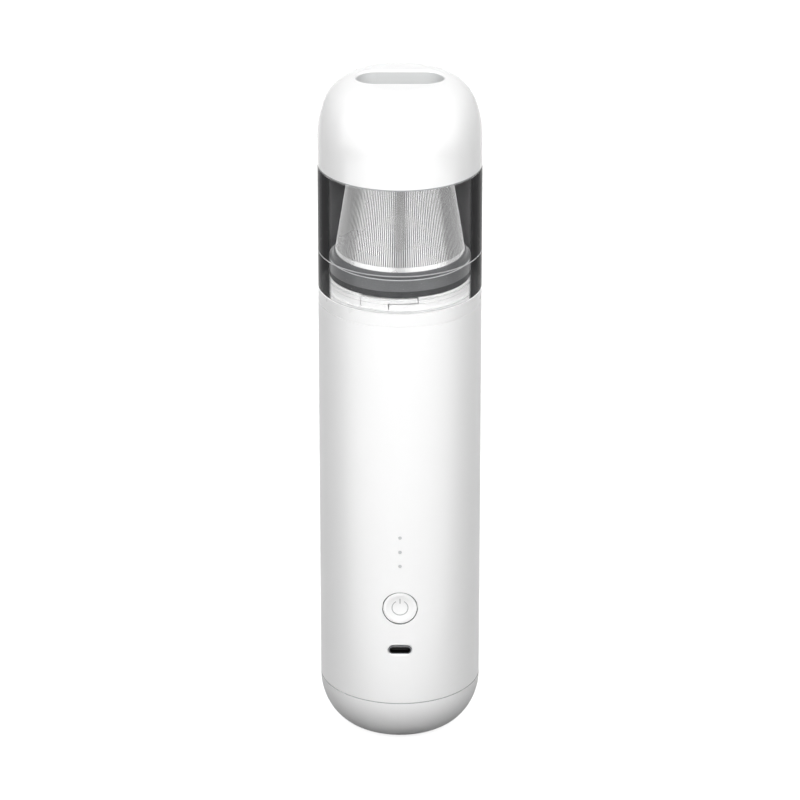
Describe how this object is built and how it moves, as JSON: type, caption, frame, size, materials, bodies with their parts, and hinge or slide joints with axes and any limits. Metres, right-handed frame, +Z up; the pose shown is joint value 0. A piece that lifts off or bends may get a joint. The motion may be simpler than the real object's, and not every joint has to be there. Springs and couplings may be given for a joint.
{
  "type": "handheld vacuum cleaner",
  "caption": "Slim upright handheld vacuum cleaner: domed slot nozzle, smoked clear bin with a steel cone filter, round white grip with button and charging socket.",
  "frame": {"origin": "middle of the foot, on the surface that the cleaner stands on", "axes": "+Z up along the grip to the nozzle, -Y towards the controls, +X to the right of someone who faces the controls"},
  "size_m": [0.063, 0.063, 0.27],
  "materials": {
    "white_abs": "satin moulded",
    "nozzle_white": "gloss moulded",
    "smoked_clear": "polished clear, smoked",
    "grey_rubber": "matte",
    "dark_rubber": "matte",
    "dark_abs": "satin moulded",
    "filter_steel": "etched sheet",
    "filter_paper": "pleated",
    "inner_abs": "moulded",
    "flap_silicone": "matte translucent",
    "steel": "bright",
    "cell_sleeve": "shrink sleeve",
    "nickel": "plated strip",
    "board": "lacquered",
    "component_black": "moulded",
    "chip_ceramic": "matte",
    "guide_clear": "clear",
    "foam": "open cell foam",
    "motor_steel": "zinc plated",
    "bronze": "sintered",
    "magnet": "ferrite",
    "fan_nylon": "moulded"
  },
  "bodies": {
    "body": {"body_shell": "white_abs", "bottom_cap": "white_abs", "lock_collar": "white_abs", "foot_pad": "grey_rubber", "cap_screws": "steel", "chassis": "inner_abs", "left_cell": "cell_sleeve", "right_cell": "cell_sleeve", "cell_link": "nickel", "cell_tabs": "nickel", "main_board": "board", "board_parts": "component_black", "press_switch": "component_black", "lamp_chips": "chip_ceramic", "light_guide": "guide_clear", "port_shell": "steel", "port_tongue": "component_black", "exhaust_foam": "foam", "motor_deck": "inner_abs", "motor_cradle": "inner_abs", "motor_pad": "dark_rubber", "motor_endbell": "component_black", "motor_can": "motor_steel", "shaft_bushes": "bronze", "motor_magnets": "magnet", "diffuser": "fan_nylon", "fan_cover": "fan_nylon", "fan_cushion": "dark_rubber", "guard_grille": "dark_abs"},
    "button": {"button_cap": "white_abs", "switch_plunger": "component_black"},
    "rotor": {"motor_shaft": "steel", "armature": "motor_steel", "impeller": "fan_nylon"},
    "bin": {"dust_bin": "smoked_clear", "nozzle_gasket": "grey_rubber", "nozzle_cap": "nozzle_white", "valve_seat": "inner_abs", "flap_pin": "steel"},
    "flap": {"inlet_flap": "flap_silicone"},
    "filter": {"filter_frame": "dark_abs", "filter_gasket": "dark_rubber", "filter_cone": "filter_steel", "filter_pleats": "filter_paper", "filter_top": "dark_abs"}
  },
  "joints": [
    {"name": "power_button", "type": "slide", "parent": "body", "child": "button", "axis": [0, 1, 0], "range_m": [0, 0.0005], "stiffness_N_per_m": 2000, "springref_m": -0.0003},
    {"name": "rotor_spin", "type": "hinge", "parent": "body", "child": "rotor", "pos_m": [0, 0, 0.15], "axis": [0, 0, 1], "continuous": true},
    {"name": "bin_lift", "type": "slide", "parent": "body", "child": "bin", "axis": [0, 0, 1], "range_m": [0, 0.08]},
    {"name": "filter_lift", "type": "slide", "parent": "body", "child": "filter", "axis": [0, 0, 1], "range_m": [0, 0.016]},
    {"name": "inlet_flap", "type": "hinge", "parent": "bin", "child": "flap", "pos_m": [0, 0.01, 0.2554], "axis": [1, 0, 0], "range_deg": [0, 50], "stiffness_Nm_per_rad": 0.0008, "springref_deg": -17.19}
  ],
  "couplings": [
    {"joint": "filter_lift", "follows": "bin_lift", "ratio": 0.2}
  ]
}
